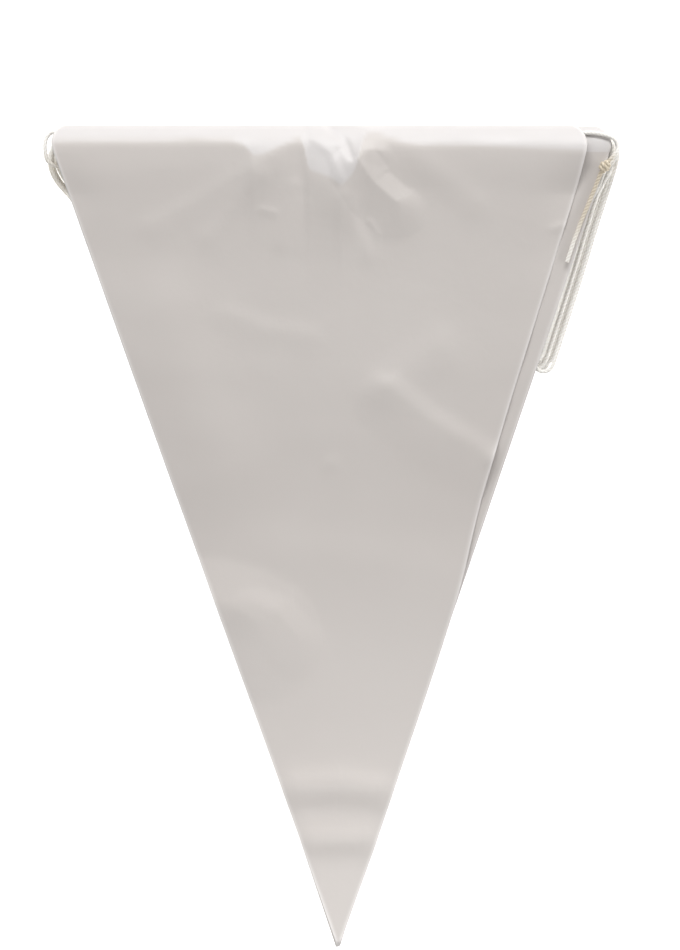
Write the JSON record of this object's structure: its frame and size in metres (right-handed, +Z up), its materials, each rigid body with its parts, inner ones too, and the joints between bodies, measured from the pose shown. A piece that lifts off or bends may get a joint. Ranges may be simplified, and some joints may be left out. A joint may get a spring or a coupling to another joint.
{
  "type": "flag bunting",
  "caption": "Plain white triangular pennants with hemmed tops, threaded on one cream cord and folded back and forth into a flat stack that lies on a surface.",
  "frame": {"origin": "on the surface, under the middle of the box around the pennants", "axes": "+X along the hems towards the side with the free ends, +Y from the tips to the hems, +Z up through the stack"},
  "size_m": [0.3165, 0.4518, 0.0551],
  "materials": {
    "pennant": "smooth white sheet with a soft sheen",
    "cord": "matte cream twisted cord"
  },
  "bodies": {
    "root": {"pennant_01": "pennant", "pennant_02": "pennant", "pennant_03": "pennant", "pennant_04": "pennant", "pennant_05": "pennant", "pennant_06": "pennant", "pennant_07": "pennant", "pennant_08": "pennant", "pennant_09": "pennant", "pennant_10": "pennant", "pennant_11": "pennant", "pennant_12": "pennant", "pennant_13": "pennant", "pennant_14": "pennant", "pennant_15": "pennant", "pennant_16": "pennant", "pennant_17": "pennant", "pennant_18": "pennant", "loop_left_01": "cord", "loop_left_02": "cord", "loop_left_03": "cord", "loop_left_04": "cord", "loop_left_05": "cord", "loop_left_06": "cord", "loop_left_07": "cord", "loop_left_08": "cord", "loop_left_09": "cord", "loop_right_01": "cord", "loop_right_02": "cord", "loop_right_03": "cord", "loop_right_04": "cord", "loop_right_05": "cord", "loop_right_06": "cord", "loop_right_07": "cord", "loop_right_08": "cord", "tail_front_lead": "cord", "tail_front_knot": "cord", "tail_front_end": "cord", "tail_back": "cord"}
  },
  "joints": []
}
